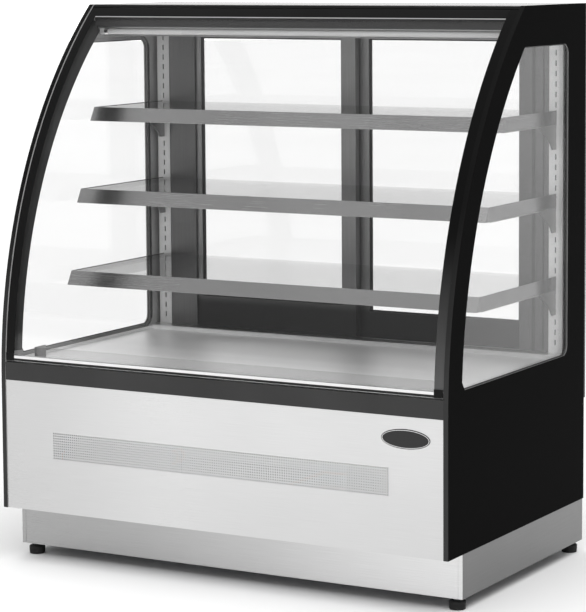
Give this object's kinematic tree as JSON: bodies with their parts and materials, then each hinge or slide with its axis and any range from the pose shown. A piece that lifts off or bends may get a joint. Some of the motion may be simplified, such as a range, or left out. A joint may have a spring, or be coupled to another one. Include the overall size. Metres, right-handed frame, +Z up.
{
  "type": "glass display showcase",
  "caption": "Refrigerated display case with a tilting curved front glass, stepped glass shelves, sliding rear doors, side windows and a vented steel base on levelling feet.",
  "frame": {"origin": "centre of the case's plan, on the floor", "axes": "+X to the right seen from the customer's side, +Y from the customer's side to the server's side, +Z up"},
  "size_m": [1.2, 0.758, 1.34],
  "materials": {
    "stainless": "brushed",
    "galvanised": "dull zinc",
    "black_panel": "satin",
    "rail_paint": "satin",
    "clear_glass": "polished",
    "front_glass": "polished with a black printed edge",
    "shelf_glass": "polished",
    "clear_plastic": "clear",
    "aluminium": "satin anodised",
    "door_frame": "satin anodised",
    "standard_paint": "satin",
    "fins": "plain",
    "copper": "plain",
    "liner": "matt",
    "diffuser": "frosted",
    "badge": "gloss",
    "black_plastic": "matt",
    "compressor_paint": "gloss",
    "switch_red": "gloss",
    "key_grey": "matt",
    "rubber": "matt"
  },
  "bodies": {
    "cabinet": {"plinth_front": "stainless", "plinth_surround": "stainless", "front_panel": "stainless", "lid": "stainless", "deck_tray": "stainless", "return_air_grille": "stainless", "shelf_frame_lower": "stainless", "shelf_frame_middle": "stainless", "shelf_frame_upper": "stainless", "door_jambs": "stainless", "rear_service_panel": "stainless", "rear_control_panel": "stainless", "base_pan": "galvanised", "foot_brackets": "galvanised", "evaporator_fan_plate": "galvanised", "cabinet_screws": "galvanised", "left_side_panel": "black_panel", "right_side_panel": "black_panel", "front_rail": "rail_paint", "header_beam": "rail_paint", "left_side_glass": "clear_glass", "right_side_glass": "clear_glass", "shelf_glass_lower": "shelf_glass", "shelf_glass_middle": "shelf_glass", "shelf_glass_upper": "shelf_glass", "air_deflector": "clear_plastic", "top_trim": "aluminium", "lamp_housing": "aluminium", "door_head_track": "aluminium", "door_sill_track": "aluminium", "shelf_standards": "standard_paint", "shelf_brackets": "standard_paint", "evaporator_coil": "fins", "condenser_coil": "fins", "refrigerant_pipes": "copper", "insulated_tub": "liner", "condensate_tray": "liner", "lamp_tube": "diffuser", "badge": "badge", "control_module": "black_plastic", "cable_gland": "black_plastic", "condenser_fan_shroud": "black_plastic", "compressor": "compressor_paint"},
    "left_door": {"left_door_frame": "door_frame", "left_door_glass": "clear_glass"},
    "right_door": {"right_door_frame": "door_frame", "right_door_glass": "clear_glass"},
    "front_screen": {"front_glass": "front_glass", "front_glass_foot": "aluminium"},
    "evaporator_fan_left": {"evaporator_fan_left": "black_plastic"},
    "evaporator_fan_right": {"evaporator_fan_right": "black_plastic"},
    "condenser_fan": {"condenser_fan": "black_plastic"},
    "lamp_switch": {"lamp_switch": "switch_red"},
    "controller_key_set": {"controller_key_set": "key_grey"},
    "controller_key_up": {"controller_key_up": "key_grey"},
    "controller_key_down": {"controller_key_down": "key_grey"},
    "foot_front_left": {"foot_front_left": "rubber"},
    "foot_front_right": {"foot_front_right": "rubber"},
    "foot_rear_left": {"foot_rear_left": "rubber"},
    "foot_rear_right": {"foot_rear_right": "rubber"}
  },
  "joints": [
    {"name": "left_door_slide", "type": "slide", "parent": "cabinet", "child": "left_door", "axis": [1, 0, 0], "range_m": [0, 0.475]},
    {"name": "right_door_slide", "type": "slide", "parent": "cabinet", "child": "right_door", "axis": [1, 0, 0], "range_m": [-0.475, 0]},
    {"name": "front_screen_tilt", "type": "hinge", "parent": "cabinet", "child": "front_screen", "pos_m": [0, -0.37, 0.494], "axis": [1, 0, 0], "range_deg": [0, 40]},
    {"name": "evaporator_fan_left_spin", "type": "hinge", "parent": "cabinet", "child": "evaporator_fan_left", "pos_m": [-0.19, -0.139, 0.422], "axis": [0, 1, 0], "continuous": true},
    {"name": "evaporator_fan_right_spin", "type": "hinge", "parent": "cabinet", "child": "evaporator_fan_right", "pos_m": [0.19, -0.139, 0.422], "axis": [0, 1, 0], "continuous": true},
    {"name": "condenser_fan_spin", "type": "hinge", "parent": "cabinet", "child": "condenser_fan", "pos_m": [-0.31, -0.254, 0.225], "axis": [0, 1, 0], "continuous": true},
    {"name": "lamp_switch_rock", "type": "hinge", "parent": "cabinet", "child": "lamp_switch", "pos_m": [0.372, 0.369, 0.414], "axis": [1, 0, 0], "range_deg": [0, 14]},
    {"name": "controller_key_set_press", "type": "slide", "parent": "cabinet", "child": "controller_key_set", "axis": [0, -1, 0], "range_m": [0, 0.001], "stiffness_N_per_m": 200},
    {"name": "controller_key_up_press", "type": "slide", "parent": "cabinet", "child": "controller_key_up", "axis": [0, -1, 0], "range_m": [0, 0.001], "stiffness_N_per_m": 200},
    {"name": "controller_key_down_press", "type": "slide", "parent": "cabinet", "child": "controller_key_down", "axis": [0, -1, 0], "range_m": [0, 0.001], "stiffness_N_per_m": 200},
    {"name": "foot_front_left_turn", "type": "hinge", "parent": "cabinet", "child": "foot_front_left", "pos_m": [-0.574, -0.279, 0], "axis": [0, 0, 1], "range_deg": [-180, 180]},
    {"name": "foot_front_right_turn", "type": "hinge", "parent": "cabinet", "child": "foot_front_right", "pos_m": [0.574, -0.279, 0], "axis": [0, 0, 1], "range_deg": [-180, 180]},
    {"name": "foot_rear_left_turn", "type": "hinge", "parent": "cabinet", "child": "foot_rear_left", "pos_m": [-0.574, 0.345, 0], "axis": [0, 0, 1], "range_deg": [-180, 180]},
    {"name": "foot_rear_right_turn", "type": "hinge", "parent": "cabinet", "child": "foot_rear_right", "pos_m": [0.574, 0.345, 0], "axis": [0, 0, 1], "range_deg": [-180, 180]}
  ]
}
